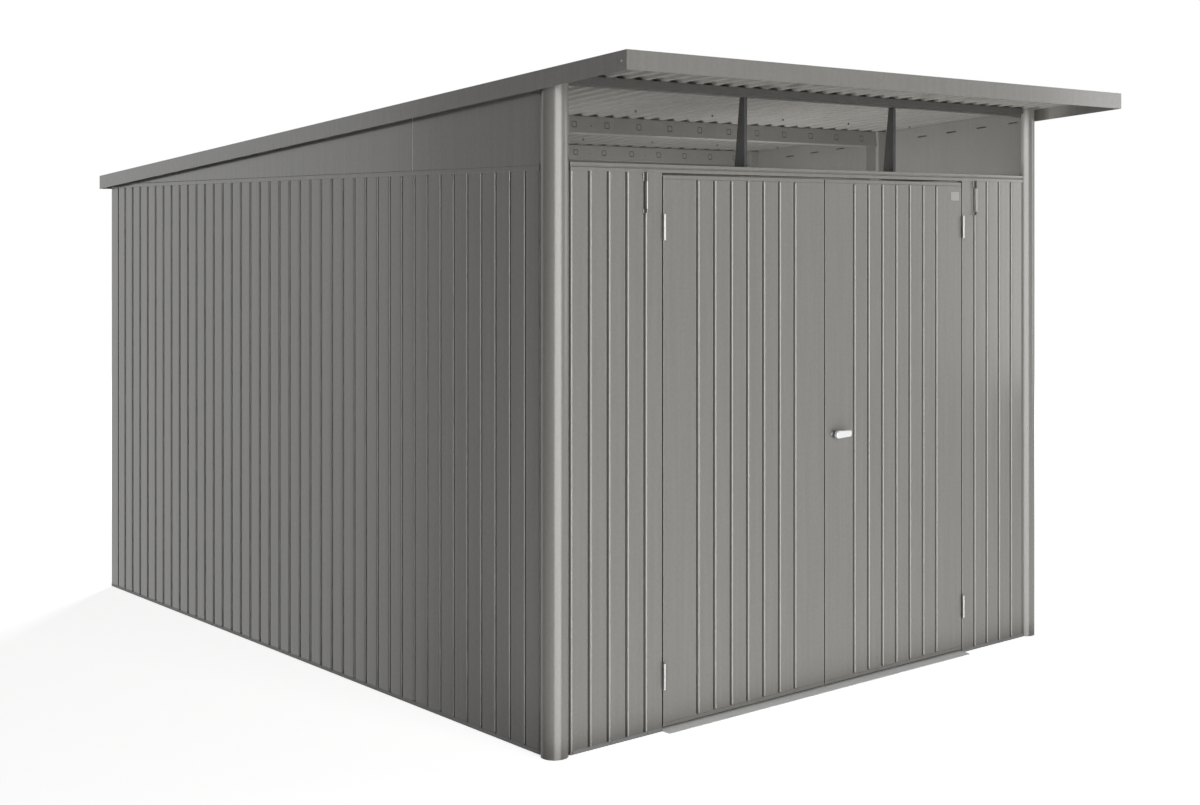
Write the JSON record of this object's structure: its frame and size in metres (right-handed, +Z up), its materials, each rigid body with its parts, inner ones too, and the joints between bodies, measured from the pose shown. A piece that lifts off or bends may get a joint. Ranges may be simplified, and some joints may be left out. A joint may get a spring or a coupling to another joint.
{
  "type": "metal storage shed",
  "caption": "Free-standing grooved sheet-metal garden shed with a lean-to roof, a window strip over outward-opening double doors, round front posts and a turning door handle.",
  "frame": {"origin": "on the ground, below the middle of the roof's outline", "axes": "+Z up, doors face -Y, roof falls towards +Y, +X to the right as seen from the doors"},
  "size_m": [2.606, 3.793, 2.22],
  "materials": {
    "wall_paint": "satin",
    "roof_paint": "satin",
    "bracket_paint": "matt",
    "bare_aluminium": "satin",
    "hinge_steel": "satin",
    "handle_chrome": "polished",
    "handle_neck": "satin",
    "window_clear": "gloss"
  },
  "bodies": {
    "shed": {"base_rail_left": "bare_aluminium", "base_rail_right": "bare_aluminium", "base_rail_back": "bare_aluminium", "base_rail_front": "bare_aluminium", "threshold_plate_left": "bare_aluminium", "threshold_plate_right": "bare_aluminium", "front_left_post": "wall_paint", "front_right_post": "wall_paint", "back_left_post": "wall_paint", "back_right_post": "wall_paint", "left_wall_panels": "wall_paint", "right_wall_panels": "wall_paint", "back_wall_panels": "wall_paint", "front_left_panel": "wall_paint", "front_right_panel": "wall_paint", "left_wall_rail": "wall_paint", "right_wall_rail": "wall_paint", "back_wall_rail": "wall_paint", "front_lintel": "wall_paint", "left_gable_front": "wall_paint", "left_gable_rear": "wall_paint", "right_gable_front": "wall_paint", "right_gable_rear": "wall_paint", "window_pane": "window_clear", "window_brackets": "bracket_paint", "front_header": "wall_paint", "roof_sheets": "roof_paint", "front_roof_beam": "roof_paint", "middle_roof_beam": "roof_paint", "rear_roof_beam": "roof_paint", "beam_columns": "roof_paint", "beam_gussets": "roof_paint", "fascia_front": "wall_paint", "fascia_back": "wall_paint", "fascia_left": "wall_paint", "fascia_right": "wall_paint", "left_hinge_frames": "hinge_steel", "right_hinge_frames": "hinge_steel", "door_stays": "hinge_steel"},
    "left_door": {"left_door_leaf": "wall_paint", "left_door_rails": "wall_paint", "left_hinge_knuckles": "hinge_steel"},
    "right_door": {"right_door_leaf": "wall_paint", "right_door_rails": "wall_paint", "right_hinge_knuckles": "hinge_steel", "handle_base": "handle_neck"},
    "handle": {"door_handle": "handle_chrome"}
  },
  "joints": [
    {"name": "left_door_hinge", "type": "hinge", "parent": "shed", "child": "left_door", "pos_m": [-0.79975, -1.5095, 0], "axis": [0, 0, -1], "range_deg": [0, 110]},
    {"name": "right_door_hinge", "type": "hinge", "parent": "shed", "child": "right_door", "pos_m": [0.79975, -1.5095, 0], "axis": [0, 0, 1], "range_deg": [0, 110]},
    {"name": "handle_turn", "type": "hinge", "parent": "right_door", "child": "handle", "pos_m": [0.048, -1.5015, 0.928], "axis": [0, 1, 0], "range_deg": [0, 90]}
  ]
}
